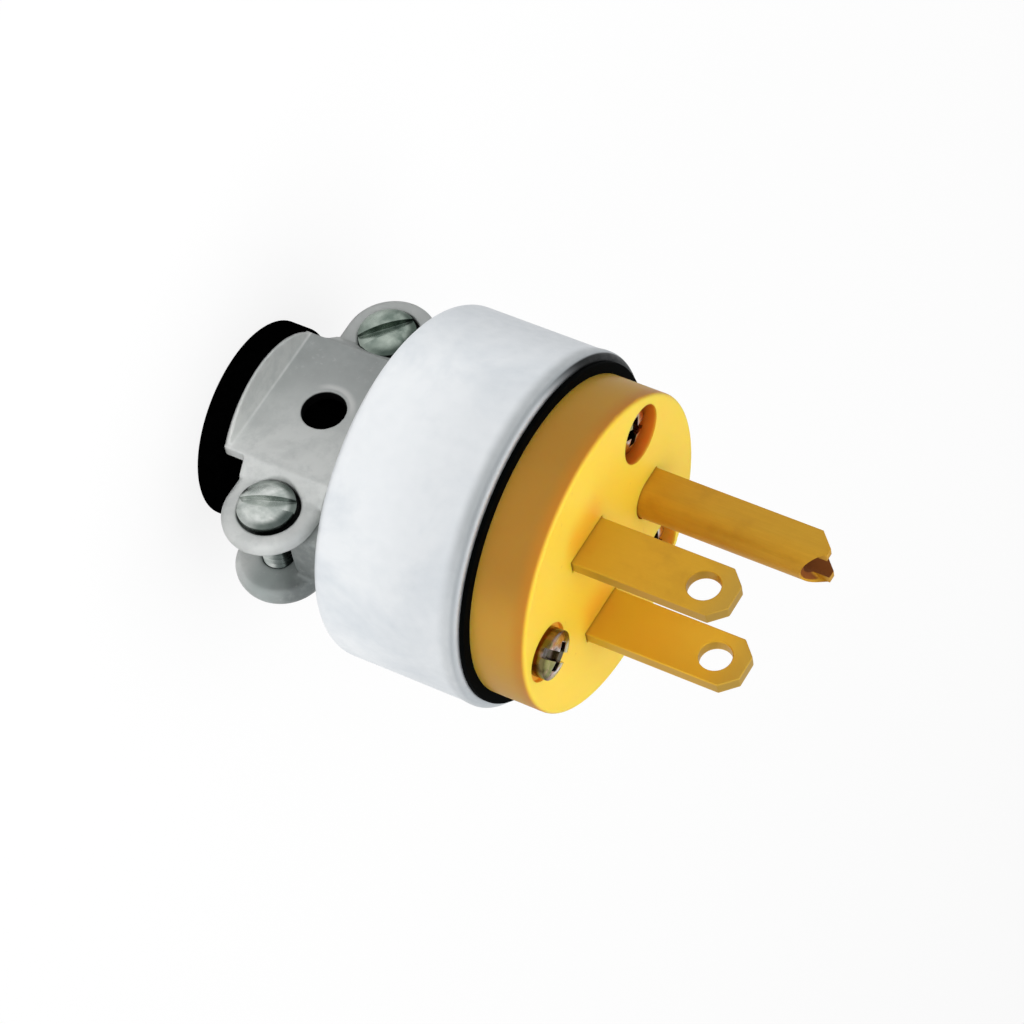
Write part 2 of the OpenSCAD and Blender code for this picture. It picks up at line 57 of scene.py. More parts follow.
def startFinish(name, metallic=0.0, specular=0.5):
    material = bpy.data.materials.new(name)
    material.use_nodes = True
    tree = material.node_tree
    shader = tree.nodes["Principled BSDF"]
    shader.inputs["Metallic"].default_value = metallic
    shader.inputs["Specular IOR Level"].default_value = specular
    place = tree.nodes.new("ShaderNodeTexCoord").outputs["Object"]
    return material, tree, shader, place


def feed(tree, socket, source):
    if isinstance(source, bpy.types.NodeSocket):
        tree.links.new(source, socket)
    else:
        socket.default_value = source


def stretched(tree, place, scale):
    node = tree.nodes.new("ShaderNodeMapping")
    node.inputs["Scale"].default_value = scale
    tree.links.new(place, node.inputs["Vector"])
    return node.outputs["Vector"]


def cloud(tree, place, scale, detail=3.0, roughness=0.5, warp=0.0):
    node = tree.nodes.new("ShaderNodeTexNoise")
    node.inputs["Scale"].default_value = scale
    node.inputs["Detail"].default_value = detail
    node.inputs["Roughness"].default_value = roughness
    node.inputs["Distortion"].default_value = warp
    tree.links.new(place, node.inputs["Vector"])
    return node.outputs["Fac"]


def remap(tree, value, span, ends=(0, 1), how="LINEAR"):
    node = tree.nodes.new("ShaderNodeMapRange")
    node.interpolation_type = how
    for key, number in zip(("From Min", "From Max", "To Min", "To Max"), (*span, *ends)):
        node.inputs[key].default_value = number
    tree.links.new(value, node.inputs["Value"])
    return node.outputs["Result"]


def ease(tree, value, span, ends=(0, 1)):
    return remap(tree, value, span, ends, "SMOOTHSTEP")


def shifted(span, start):
    return [start + part for part in span]


def tints(tree, value, stops):
    node = tree.nodes.new("ShaderNodeValToRGB")
    band = node.color_ramp
    while len(band.elements) < len(stops):
        band.elements.new(0.5)
    for element, (spot, colour) in zip(band.elements, stops):
        element.position = spot
        element.color = (*colour, 1)
    tree.links.new(value, node.inputs["Fac"])
    return node.outputs["Color"]


def blendTints(tree, share, first, second, how="MIX"):
    node = tree.nodes.new("ShaderNodeMix")
    node.data_type = "RGBA"
    node.blend_type = how
    node.clamp_factor = True
    feed(tree, node.inputs[mixShare], share)
    for key, source in ((mixFirst, first), (mixSecond, second)):
        feed(tree, node.inputs[key], (*source, 1) if isinstance(source, tuple) else source)
    return node.outputs[mixResult]


def sums(tree, kind, first, second=0):
    node = tree.nodes.new("ShaderNodeMath")
    node.operation = kind
    feed(tree, node.inputs[0], first)
    feed(tree, node.inputs[1], second)
    return node.outputs["Value"]


def product(tree, first, *others):
    for other in others:
        first = sums(tree, "MULTIPLY", first, other)
    return first


def largest(tree, first, *others):
    for other in others:
        first = sums(tree, "MAXIMUM", first, other)
    return first


def away(tree, value, middle):
    return sums(tree, "ABSOLUTE", sums(tree, "SUBTRACT", value, middle))


def axes(tree, place):
    node = tree.nodes.new("ShaderNodeSeparateXYZ")
    tree.links.new(place, node.inputs["Vector"])
    return node.outputs["X"], node.outputs["Y"], node.outputs["Z"]


def spread(tree, place, middle, flat):
    node = tree.nodes.new("ShaderNodeVectorMath")
    node.operation = "DISTANCE"
    tree.links.new(stretched(tree, place, flat), node.inputs[0])
    node.inputs[1].default_value = tuple(a * b for a, b in zip(middle, flat))
    return node.outputs["Value"]


def relief(tree, shader, heights, bumps):
    normal = None
    for height, (strength, depth) in zip(heights, bumps):
        node = tree.nodes.new("ShaderNodeBump")
        node.inputs["Strength"].default_value = strength
        node.inputs["Distance"].default_value = depth
        tree.links.new(height, node.inputs["Height"])
        if normal is not None:
            tree.links.new(normal, node.inputs["Normal"])
        normal = node.outputs["Normal"]
    tree.links.new(normal, shader.inputs["Normal"])


def endFinish(tree, shader, colour, rough, heights, bumps):
    tree.links.new(colour, shader.inputs["Base Color"])
    tree.links.new(rough, shader.inputs["Roughness"])
    relief(tree, shader, heights, bumps)


# small helpers for meshes

meshLook = {
    "weld": 0.002 * mm, "flat": math.radians(0.4), "cutSlack": 0.0001 * mm, "onCut": 0.001 * mm,
    "roundFrom": math.radians(32), "crispFrom": math.radians(40),
    "softFrom": math.radians(60), "softShare": 0.5,
}


def spareEdge(edge, cuts):
    if len(edge.link_faces) != 2 or edge.calc_face_angle(1) >= meshLook["flat"]:
        return False
    for spot, across in cuts:
        apart = [abs((vert.co - Vector(spot)).dot(Vector(across))) for vert in edge.verts]
        if max(apart) < meshLook["onCut"]:
            return False
    return True


def cadCopy(node, name, cuts=()):
    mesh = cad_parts[node].data.copy()
    mesh.name = name
    mesh.materials.clear()
    if "custom_normal" in mesh.attributes:
        mesh.attributes.remove(mesh.attributes["custom_normal"])
    shape = bmesh.new()
    shape.from_mesh(mesh)
    bmesh.ops.remove_doubles(shape, verts=shape.verts, dist=meshLook["weld"])
    bmesh.ops.dissolve_limit(shape, angle_limit=meshLook["flat"], verts=shape.verts, edges=shape.edges)
    for spot, across in cuts:  # split flat faces through the middles of their holes
        every = shape.verts[:] + shape.edges[:] + shape.faces[:]
        bmesh.ops.bisect_plane(shape, geom=every, plane_co=spot, plane_no=across, dist=meshLook["cutSlack"])
    if cuts:  # and drop the slanted edges that joined the holes before
        spare = [edge for edge in shape.edges if spareEdge(edge, cuts)]
        bmesh.ops.dissolve_edges(shape, edges=spare, use_verts=False)
    shape.to_mesh(mesh)
    shape.free()
    piece = bpy.data.objects.new(name, mesh)
    scene.collection.objects.link(piece)
    return piece


def fixShape(piece):
    graph = bpy.context.evaluated_depsgraph_get()
    made = bpy.data.meshes.new_from_object(piece.evaluated_get(graph))
    piece.modifiers.clear()
    old = piece.data
    piece.data = made
    bpy.data.meshes.remove(old)


def smoothShade(piece, sharpFrom=meshLook["crispFrom"]):
    piece.data.shade_smooth()
    piece.data.set_sharp_from_angle(angle=sharpFrom)


def roundEdges(piece, width, steps, firm=True):
    bevel = piece.modifiers.new("roundEdges", "BEVEL")
    bevel.width = width
    bevel.segments = steps
    bevel.limit_method = "ANGLE"
    bevel.angle_limit = meshLook["roundFrom"]
    bevel.use_clamp_overlap = True
    bevel.miter_outer = "MITER_ARC"
    fixShape(piece)
    smoothShade(piece)
    if firm:  # flat faces keep their own normals up to the rounded edges
        even = piece.modifiers.new("firmFlats", "WEIGHTED_NORMAL")
        even.keep_sharp = True
        fixShape(piece)


def softForm(piece, grid, passes):
    remesh = piece.modifiers.new("fineGrid", "REMESH")
    remesh.mode = "VOXEL"
    remesh.voxel_size = grid
    soften = piece.modifiers.new("easeEdges", "SMOOTH")
    soften.factor = meshLook["softShare"]
    soften.iterations = passes
    fixShape(piece)
    smoothShade(piece, meshLook["softFrom"])


def finishPiece(piece, node, material):
    piece.data.materials.clear()
    piece.data.materials.append(material)
    for face in piece.data.polygons:
        face.material_index = 0
    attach(piece, "root")
    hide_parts(node)


# yellow face

faceScrews = {"assembly_screw_near": "faceScrewNear", "assembly_screw_far": "faceScrewFar",
              "assembly_screw_low": "faceScrewLow"}
boreSpots = [tuple((low + high) / 2) for low, high in (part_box(node) for node in faceScrews)]
bladeX, bladeHalf = 6.35 * mm, 0.75 * mm  # middle of each blade and half its thickness
bladeMiddle = (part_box("neutral_blade")[0].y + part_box("neutral_blade")[1].y) / 2
faceLook = {
    "edge": (0.12 * mm, 2),  # width and steps of the rounded edges
    "specular": 0.3, "rough": (0.4, 0.55), "patchScale": 75,
    "throughShare": 0.5, "throughReach": (2.4 * mm, 0.9 * mm, 0.15 * mm),
    "frontZ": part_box("front_face")[1].z, "frontDepth": (0.05 * mm, 0.45 * mm),
    "front": [(0.32, (0.90, 0.58, 0.050)), (0.62, (0.91, 0.63, 0.070))],
    "inner": (0.88, 0.545, 0.032), "innerReach": (5 * mm, 15 * mm), "innerShare": 0.75,
    "roots": [(spot - bladeHalf, bladeMiddle) for spot in (-bladeX, bladeX)],
    "bladeReflection": (0.90, 0.42, 0.025), "shineShare": 0.85, "shineReach": (-6 * mm, -1.5 * mm),
    "shineStop": (0.2 * mm, 0.5 * mm), "shineHalf": (1.8 * mm, 4.6 * mm),
    # the side is a darker, shaded copy of the front's yellow (painted shade), with painted light at its top
    # and bottom
    "side": [(0.3, (0.54, 0.25, 0.028)), (0.65, (0.575, 0.285, 0.038))],
    "sideLitFar": (0.92, 0.50, 0.052), "farY": (-4 * mm, 17 * mm),
    "sideLitNear": (0.76, 0.40, 0.05), "nearY": (-17.2 * mm, -13 * mm),
    "sideRim": (0.68, 0.285, 0.024), "rimDepth": (0.5 * mm, 2.2 * mm), "rimShare": 0.7,
    "bores": boreSpots, "boreReach": (3.32 * mm, 3.4 * mm),
    "boreDepth": (0.02 * mm, 0.5 * mm), "boreShare": (0.5, 1),
    "bore": (0.53, 0.095, 0.009), "boreLip": (0.71, 0.195, 0.012), "lipDepth": (0.3 * mm, 2.2 * mm),
    "boreLit": (0.98, 0.42, 0.032), "litX": (3 * mm, 4 * mm), "litY": (-6 * mm, -5 * mm),
    "speck": (0.55, 0.28, 0.05), "speckScale": 1500, "speckSpan": (0.68, 0.8), "speckShare": 0.25,
    "dentScale": 260, "grainScale": 3200, "bumps": [(0.12, 0.12 * mm), (0.08, 0.03 * mm)],
}


def frontTints(tree, look, place, patches):
    across, up = axes(tree, place)[:2]
    front = tints(tree, patches, look["front"])
    inner = ease(tree, spread(tree, place, (0, 0, 0), fromAxis), look["innerReach"], (look["innerShare"], 0))
    front = blendTints(tree, inner, front, look["inner"])
    for flat, middle in look["roots"]:  # painted amber reflection of each blade in the face
        near = ease(tree, across, shifted(look["shineReach"], flat), (0, look["shineShare"]))
        stop = remap(tree, across, shifted(look["shineStop"], flat), (1, 0))
        wide = ease(tree, away(tree, up, middle), look["shineHalf"], (1, 0))
        front = blendTints(tree, product(tree, near, stop, wide), front, look["bladeReflection"])
    return front


# painted shade on the disc's side, with painted light towards the top and the bottom and a more orange tone
# near the front edge
def shadedSideTints(tree, look, place, patches, depth):
    up = axes(tree, place)[1]
    side = tints(tree, patches, look["side"])
    side = blendTints(tree, ease(tree, up, look["farY"]), side, look["sideLitFar"])
    side = blendTints(tree, ease(tree, up, look["nearY"], (1, 0)), side, look["sideLitNear"])
    return blendTints(tree, ease(tree, depth, look["rimDepth"], (look["rimShare"], 0)), side, look["sideRim"])


# painted shade down the screw bores, darker with depth, and painted light on the walls of the low and the far
# bore
def boreShadeTints(tree, look, place, depth, colour):
    across, up = axes(tree, place)[:2]
    bore = blendTints(tree, ease(tree, depth, look["lipDepth"], (1, 0)), look["bore"], look["boreLip"])
    lit = largest(tree, remap(tree, up, look["litY"], (1, 0)), remap(tree, across, look["litX"]))
    bore = blendTints(tree, lit, bore, look["boreLit"])
    walls = [remap(tree, spread(tree, place, middle, fromAxis), look["boreReach"], (1, 0))
             for middle in look["bores"]]
    deep = ease(tree, depth, look["boreDepth"], look["boreShare"])
    return blendTints(tree, product(tree, largest(tree, *walls), deep), colour, bore)


def yellowPlastic(look):
    material, tree, shader, place = startFinish("yellowPlastic", specular=look["specular"])
    shader.inputs["Subsurface Weight"].default_value = look["throughShare"]
    shader.inputs["Subsurface Radius"].default_value = look["throughReach"]
    shader.inputs["Subsurface Scale"].default_value = 1.0
    patches = cloud(tree, place, look["patchScale"], detail=4, roughness=0.55, warp=0.3)
    depth = sums(tree, "SUBTRACT", look["frontZ"], axes(tree, place)[2])  # below the front
    front = frontTints(tree, look, place, patches)
    side = shadedSideTints(tree, look, place, patches, depth)
    colour = blendTints(tree, ease(tree, depth, look["frontDepth"], (1, 0)), side, front)
    colour = boreShadeTints(tree, look, place, depth, colour)
    specks = cloud(tree, place, look["speckScale"], detail=2, roughness=0.6)
    dirt = ease(tree, specks, look["speckSpan"], (0, look["speckShare"]))
    colour = blendTints(tree, dirt, colour, look["speck"])
    rough = remap(tree, patches, midGrain, look["rough"])
    dents = cloud(tree, place, look["dentScale"])
    grain = cloud(tree, place, look["grainScale"], detail=2)
    endFinish(tree, shader, colour, rough, (dents, grain), look["bumps"])
    return material


faceDisc = cadCopy("front_face", "faceDisc")
roundEdges(faceDisc, *faceLook["edge"])
finishPiece(faceDisc, "front_face", yellowPlastic(faceLook))
print("plug: face done")

# drawn shell and the black ring of its liner

shellLook = {
    "edge": (0.1 * mm, 2), "metallic": 0.88, "rough": (0.4, 0.54), "cloudScale": 95,
    "plate": [(0.32, (0.835, 0.875, 0.91)), (0.56, (0.955, 0.98, 1.0))],
    "rimZ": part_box("armour_shell")[1].z,
    "grey": (0.62, 0.65, 0.68), "greyDepth": (3 * mm, 14 * mm), "greyShare": 0.34,
    "farY": (0, 17 * mm), "farShare": 0.9,
    "band": (0.34, 0.365, 0.375), "bandDepth": (0.95 * mm, 2.4 * mm), "bandY": (-19.5 * mm, -11 * mm),
    "bandShare": (0.3, 0.66), "overDepth": (0.12 * mm, 0.45 * mm), "overShare": (0.4, 1),
    "bead": (0.006, 0.0065, 0.0065), "beadDepth": (0.3 * mm, 0.5 * mm), "beadShare": 0.98,
    "beadY": (1 * mm, 11 * mm),
    "grainScale": 900, "fineScale": 4200, "bumps": [(0.18, 0.25 * mm), (0.1, 0.04 * mm), (0.06, 0.02 * mm)],
}


def palePlate(look):
    material, tree, shader, place = startFinish("palePlate", metallic=look["metallic"])
    drift = cloud(tree, place, look["cloudScale"], detail=5, roughness=0.6, warp=0.4)
    up, height = axes(tree, place)[1:]
    depth = sums(tree, "SUBTRACT", look["rimZ"], height)  # below the rim
    # painted shade: greyer towards the rim and over the upper side
    toRim = ease(tree, depth, look["greyDepth"], (look["greyShare"], 0))
    toFar = ease(tree, up, look["farY"], (0, look["farShare"]))
    colour = tints(tree, drift, look["plate"])
    colour = blendTints(tree, largest(tree, toRim, toFar), colour, look["grey"])
    # painted shade: a grey band just behind the rim, weaker on the edge itself and towards the bottom
    rimShadeBand = product(tree, ease(tree, depth, look["bandDepth"], (1, 0)),
                     ease(tree, depth, look["overDepth"], look["overShare"]),
                     ease(tree, up, look["bandY"], look["bandShare"]))
    colour = blendTints(tree, rimShadeBand, colour, look["band"])
    # painted shade: the rim's edge darkened to near-black towards the top
    bead = product(tree, ease(tree, depth, look["beadDepth"], (look["beadShare"], 0)),
                   ease(tree, up, look["beadY"]))
    colour = blendTints(tree, bead, colour, look["bead"])
    grain = cloud(tree, place, look["grainScale"], roughness=0.6)
    rough = remap(tree, grain, midGrain, look["rough"])
    fine = cloud(tree, place, look["fineScale"], detail=2)
    endFinish(tree, shader, colour, rough, (drift, grain, fine), look["bumps"])
    return material


def dullBlack(name, look):
    material, tree, shader, place = startFinish(name, specular=look["specular"])
    grain = cloud(tree, place, look["grainScale"], detail=4, roughness=0.6)
    colour = tints(tree, grain, look["grain"])
    rough = remap(tree, grain, midGrain, look["rough"])
    dents = cloud(tree, place, look["dentScale"], detail=2)
    endFinish(tree, shader, colour, rough, (grain, dents), look["bumps"])
    return material


shellCup = cadCopy("armour_shell", "shellCup")
roundEdges(shellCup, *shellLook["edge"])
finishPiece(shellCup, "armour_shell", palePlate(shellLook))

linerLook = {
    "edge": (0.1 * mm, 2), "specular": 0.02, "rough": (0.7, 0.85),
    "grain": [(0.3, (0.0004, 0.0005, 0.0005)), (0.75, (0.002, 0.0025, 0.0025))],
    "grainScale": 900, "dentScale": 180, "bumps": [(0.2, 0.04 * mm), (0.1, 0.15 * mm)],
}
linerCup = cadCopy("insulating_liner", "linerCup")
roundEdges(linerCup, *linerLook["edge"])
finishPiece(linerCup, "insulating_liner", dullBlack("linerFibre", linerLook))
print("plug: shell and liner done")

# brass prongs

brassLook = {
    "edge": (0.14 * mm, 3), "lineStretch": (1, 1, 0.04), "lineScale": 4200, "lineSpan": (0.35, 0.65),
    "tarnishStretch": (1, 1, 0.8), "tarnishScale": 240, "tarnishStops": (0.28, 0.5, 0.72),
    "dentScale": 330, "bumps": [(0.2, 0.03 * mm), (0.08, 0.12 * mm)],
}
pinLow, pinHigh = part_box("ground_pin")
pinRadius = (pinHigh.x - pinLow.x) / 2
pinFold = pinHigh.y - 2.2 * mm  # where the straight legs begin
pinLook = {
    **brassLook, "metallic": 0.58, "rough": (0.44, 0.58), "streak": 0.24,
    "dark": (0.53, 0.265, 0.015), "brass": (0.65, 0.345, 0.023), "light": (0.70, 0.39, 0.031),
    "fold": (0.27, 0.082, 0.014), "foldMiddle": (0, pinFold, 0), "foldRough": 0.25,
    "foldReach": shifted((-0.9 * mm, -0.73 * mm), pinRadius),
    "cutReach": shifted((-0.3 * mm, -0.18 * mm), pinRadius),
    "spineY": shifted((-0.9 * mm, -0.5 * mm), pinFold), "legsY": shifted((-0.05 * mm, 0.05 * mm), pinFold),
}
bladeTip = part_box("neutral_blade")[1].z
bladeLook = {
    **brassLook, "metallic": 0.6, "rough": (0.36, 0.5), "streak": 0.12,
    "dark": (0.60, 0.305, 0.014), "brass": (0.70, 0.375, 0.020), "light": (0.74, 0.41, 0.027),
    "holeSetback": 3.6 * mm, "tabSetback": 3.2 * mm,
    "farBladeLight": (0.93, 0.54, 0.034), "farX": (-1 * mm, 1 * mm), "farShare": 0.75,
    "edgeTint": (0.40, 0.22, 0.030), "edgeX": shifted((-0.3 * mm, -0.04 * mm), bladeHalf), "edgeShare": 0.55,
    "tipTint": (0.46, 0.30, 0.065), "tipZ": (bladeTip - 4.5 * mm, bladeTip), "tipShare": 0.5,
    "rootTint": (0.61, 0.45, 0.046), "rootZ": shifted((0, 8 * mm), faceLook["frontZ"]), "rootShare": 0.6,
}


def pinHollowShade(tree, look, place, colour, rough):  # painted shade in the hollow between the folded legs and on the cut end of the spine
    across, up = axes(tree, place)[:2]
    reach = spread(tree, place, look["foldMiddle"], fromAxis)
    hollow = remap(tree, reach, look["foldReach"], (1, 0))
    cut = remap(tree, reach, look["cutReach"], (1, 0))
    spine = remap(tree, up, look["spineY"], (1, 0))
    legs = remap(tree, away(tree, across, 0), look["foldReach"], (1, 0))
    beyond = remap(tree, up, look["legsY"])
    dark = largest(tree, hollow, product(tree, cut, spine), product(tree, legs, beyond))
    rough = sums(tree, "ADD", rough, product(tree, dark, look["foldRough"]))
    return blendTints(tree, dark, colour, look["fold"]), rough


def bladeLightAndWear(tree, look, place, colour, rough):  # painted light on the far (line) blade, darker sheared edges, darker worn tips, a paler tone at the roots
    across, along = axes(tree, place)[::2]
    inward = away(tree, away(tree, across, 0), bladeX)
    for tint, share in (
            ("farBladeLight", remap(tree, across, look["farX"], (0, look["farShare"]))),
            ("edgeTint", ease(tree, inward, look["edgeX"], (look["edgeShare"], 0))),
            ("tipTint", ease(tree, along, look["tipZ"], (0, look["tipShare"]))),
            ("rootTint", ease(tree, along, look["rootZ"], (look["rootShare"], 0)))):
        colour = blendTints(tree, share, colour, look[tint])
    return colour, rough


def drawnBrass(name, look, addedTints):
    material, tree, shader, place = startFinish(name, metallic=look["metallic"])
    lines = cloud(tree, stretched(tree, place, look["lineStretch"]), look["lineScale"], roughness=0.6)
    tarnish = cloud(tree, stretched(tree, place, look["tarnishStretch"]), look["tarnishScale"],
                    detail=4, roughness=0.6)
    stops = zip(look["tarnishStops"], (look["dark"], look["brass"], look["light"]))
    colour = tints(tree, tarnish, list(stops))
    streaks = remap(tree, lines, look["lineSpan"], (0, look["streak"]))
    colour = blendTints(tree, streaks, colour, look["dark"])
    rough = remap(tree, tarnish, midGrain, look["rough"])
    colour, rough = addedTints(tree, look, place, colour, rough)
    dents = cloud(tree, place, look["dentScale"], detail=2)
    endFinish(tree, shader, colour, rough, (lines, dents), look["bumps"])
    return material


foldedPin = cadCopy("ground_pin", "foldedPin")
roundEdges(foldedPin, *pinLook["edge"])
finishPiece(foldedPin, "ground_pin", drawnBrass("pinBrass", pinLook, pinHollowShade))

bladeFinish = drawnBrass("bladeBrass", bladeLook, bladeLightAndWear)
for node, name in (("neutral_blade", "bladeNear"), ("line_blade", "bladeFar")):
    low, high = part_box(node)
    tab = low.x + bladeLook["tabSetback"] if low.x < 0 else high.x - bladeLook["tabSetback"]
    middle = (tab, (low.y + high.y) / 2, high.z - bladeLook["holeSetback"])
    blade = cadCopy(node, name, [(middle, (1, 0, 0)), (middle, (0, 1, 0)), (middle, (0, 0, 1))])
    roundEdges(blade, *bladeLook["edge"])
    finishPiece(blade, node, bladeFinish)
print("plug: prongs done")

# screws in the face

screwLook = {
    "rough": (0.16, 0.3), "markStretch": (1, 1, 1), "markScale": 2200, "markSpan": (0.35, 0.7),
    "dentScale": 600, "bumps": [(0.15, 0.03 * mm), (0.1, 0.06 * mm)],
}
headLook = {
    **screwLook, "edge": (0.1 * mm, 2), "washScale": 420,
    "wash": [(0.36, (0.40, 0.39, 0.13)), (0.47, (0.56, 0.48, 0.21)), (0.54, (0.74, 0.44, 0.33)),
             (0.64, (0.90, 0.88, 0.87))],
    "mark": (0.075, 0.035, 0.016), "markScale": 700, "markSpan": (0.50, 0.64), "markShare": 0.8,
    "paintedShade": (0.06, 0.034, 0.014), "heads": boreSpots, "headFlat": fromAxis,
    "ringReach": (2.1 * mm, 2.8 * mm), "ringStop": (4.2 * mm, 4.76 * mm),
    "ringZ": (0, 1), "ringShare": (0.75, 0.75),  # the same at every height
    "domes": [(spot[0], spot[1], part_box(node)[1].z) for node, spot in zip(faceScrews, boreSpots)],
    "domeBend": 64, "domeReach": (2.45 * mm, 2.6 * mm), "slotDepth": (0.1 * mm, 0.5 * mm), "slotShare": 0.85,
}


def slotShade(tree, look, place, colour):  # painted shade down in the slot and the cross of each head
    height = axes(tree, place)[2]
    for middle in look["domes"]:
        reach = spread(tree, place, middle, fromAxis)
        fall = product(tree, reach, reach, look["domeBend"])
        depth = sums(tree, "SUBTRACT", sums(tree, "SUBTRACT", middle[2], fall), height)
        sunk = ease(tree, depth, look["slotDepth"], (0, look["slotShare"]))
        within = remap(tree, reach, look["domeReach"], (1, 0))
        colour = blendTints(tree, product(tree, sunk, within), colour, look["paintedShade"])
    return colour


def headEdgeShade(tree, look, place, colour):  # painted shade round the edge of each head
    share = ease(tree, axes(tree, place)[2], look["ringZ"], look["ringShare"])
    for middle in look["heads"]:
        reach = spread(tree, place, middle, look["headFlat"])
        ring = ease(tree, reach, look["ringReach"])
        stop = remap(tree, reach, look["ringStop"], (1, 0))
        colour = blendTints(tree, product(tree, ring, stop, share), colour, look["paintedShade"])
    return colour


def platedScrew(name, look, shadeSteps=()):
    material, tree, shader, place = startFinish(name, metallic=1.0)
    wash = cloud(tree, place, look["washScale"], roughness=0.55, warp=0.8)
    marks = cloud(tree, stretched(tree, place, look["markStretch"]), look["markScale"], roughness=0.6)
    shade = remap(tree, marks, look["markSpan"], (0, look["markShare"]))
    colour = blendTints(tree, shade, tints(tree, wash, look["wash"]), look["mark"])
    for addedTints in shadeSteps:
        colour = addedTints(tree, look, place, colour)
    rough = remap(tree, marks, midGrain, look["rough"])
    dents = cloud(tree, place, look["dentScale"], detail=2)
    endFinish(tree, shader, colour, rough, (marks, dents), look["bumps"])
    return material


headFinish = platedScrew("yellowChromate", headLook, (slotShade, headEdgeShade))
for node, name in faceScrews.items():
    faceScrew = cadCopy(node, name)
    roundEdges(faceScrew, *headLook["edge"])
    finishPiece(faceScrew, node, headFinish)
print("plug: face screws done")

# cord clamp

clampScrews = {"clamp_screw_upper": "clampScrewUpper", "clamp_screw_lower": "clampScrewLower"}
screwSpots = [tuple((low + high) / 2) for low, high in (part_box(node) for node in clampScrews)]
screwZ = screwSpots[0][2]
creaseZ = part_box("clamp_saddle")[0].z + 0.75 * mm  # where the end lip turns up
saddleTop, seatTop = -6.65 * mm, -4.95 * mm  # x of the raised middle and of the ears
holeRadius, seatRadius = 2.45 * mm, 3.45 * mm
clampLook = {
    "saddleGrid": 0.13 * mm, "saddlePasses": 14, "baseGrid": 0.22 * mm, "basePasses": 12,
    "metallic": 0.25, "specular": 0.4, "rough": (0.42, 0.58), "driftScale": 140, "grainScale": 1300,
    "bumps": [(0.15, 0.2 * mm), (0.16, 0.05 * mm)],
    "cast": [(0.25, (0.71, 0.725, 0.715)), (0.5, (0.87, 0.89, 0.87)), (0.75, (0.92, 0.935, 0.92))],
    "upperShade": (0.36, 0.385, 0.38), "upperShadeY": (-8 * mm, 8.5 * mm), "upperShadeShare": 0.87,
    "upperShadeEndY": (8 * mm, 9.5 * mm), "upperShadeEnd": (1, 0.58),
    "jawX": (-4 * mm, -3 * mm), "jaw": (0.335, 0.395, 0.382), "jawShare": 0.76,
    "jawZ": shifted((-3.6 * mm, 0.2 * mm), screwZ),
    "neck": (0.16, 0.17, 0.17), "neckZ": (10.8 * mm, 14.5 * mm), "neckShare": 0.7,
    "lip": (0.90, 0.91, 0.885), "lipZ": shifted((-0.1 * mm, 0.15 * mm), creaseZ), "lipShare": 0.8,
    "crease": (1, 1, 0.98), "creaseLine": (saddleTop, 0, creaseZ), "creaseReach": (0.05 * mm, 0.24 * mm),
    "creaseShare": 0.5,
    "pit": (0.71, 0.725, 0.715), "pitSpan": (0.3, 0.42), "pitShare": 0.3,
    "mottle": (0.54, 0.57, 0.56), "mottleScale": 420, "mottleSpan": (0.35, 0.58), "mottleShare": 0.32,
    "holeMiddle": (0, 0, screwZ), "holeReach": shifted((0.08 * mm, 0.35 * mm), holeRadius),
    "holeX": shifted((0.03 * mm, 0.2 * mm), saddleTop),
    "holeLipNear": shifted((0.2 * mm, 0.5 * mm), holeRadius),
    "holeLipFar": shifted((0.6 * mm, 1.2 * mm), holeRadius),
    "holeLean": 0.4, "holeLeanY": (1 * mm, 2.8 * mm), "holeLipShare": 0.5,
    "seats": [(0, spot[1], spot[2] + 0.4 * mm) for spot in screwSpots],
    "seatReach": shifted((-0.1 * mm, 0.15 * mm), seatRadius),
    "seatInX": shifted((0.1 * mm, 0.45 * mm), seatTop), "seatOutX": shifted((1.2 * mm, 1.5 * mm), seatTop),
    "seatZ": (-1.6 * mm, 1.4 * mm), "seatShare": (0.3, 1), "recessShade": (0.002, 0.002, 0.002),
}


def castTints(tree, look, place, colour):
    across, up, along = axes(tree, place)
    # painted shade: darker towards the upper side, a little less at its far end
    upperShade = ease(tree, up, look["upperShadeY"], (0, look["upperShadeShare"]))
    ending = ease(tree, up, look["upperShadeEndY"], look["upperShadeEnd"])
    below = ease(tree, across, look["jawX"])  # the base, not the saddle
    # painted shade on the base under the saddle's ears, deepening towards the shell
    jaw = ease(tree, along, look["jawZ"], (0, look["jawShare"]))
    neck = ease(tree, along, look["neckZ"], (0, look["neckShare"]))
    crease = spread(tree, place, look["creaseLine"], fromLine)
    # lip: painted light on the end lip; crease: a painted highlight along its crease
    for tint, share in (
            ("upperShade", product(tree, upperShade, ending)),
            ("jaw", product(tree, below, jaw)),
            ("neck", product(tree, below, neck)),
            ("lip", ease(tree, along, look["lipZ"], (look["lipShare"], 0))),
            ("crease", ease(tree, crease, look["creaseReach"], (look["creaseShare"], 0)))):
        colour = blendTints(tree, share, colour, look[tint])
    return colour


def holeRimHighlight(tree, look, place):  # painted highlight: a pale crescent on the upper rim of the hole
    up, along = axes(tree, place)[1:]
    reach = spread(tree, place, look["holeMiddle"], fromSide)
    inner = ease(tree, reach, look["holeLipNear"])
    ring = product(tree, inner, ease(tree, reach, look["holeLipFar"], (1, 0)))
    apart = sums(tree, "SUBTRACT", along, look["holeMiddle"][2])
    lean = sums(tree, "ADD", up, product(tree, apart, look["holeLean"]))
    return product(tree, ring, ease(tree, lean, look["holeLeanY"], (0, look["holeLipShare"])))


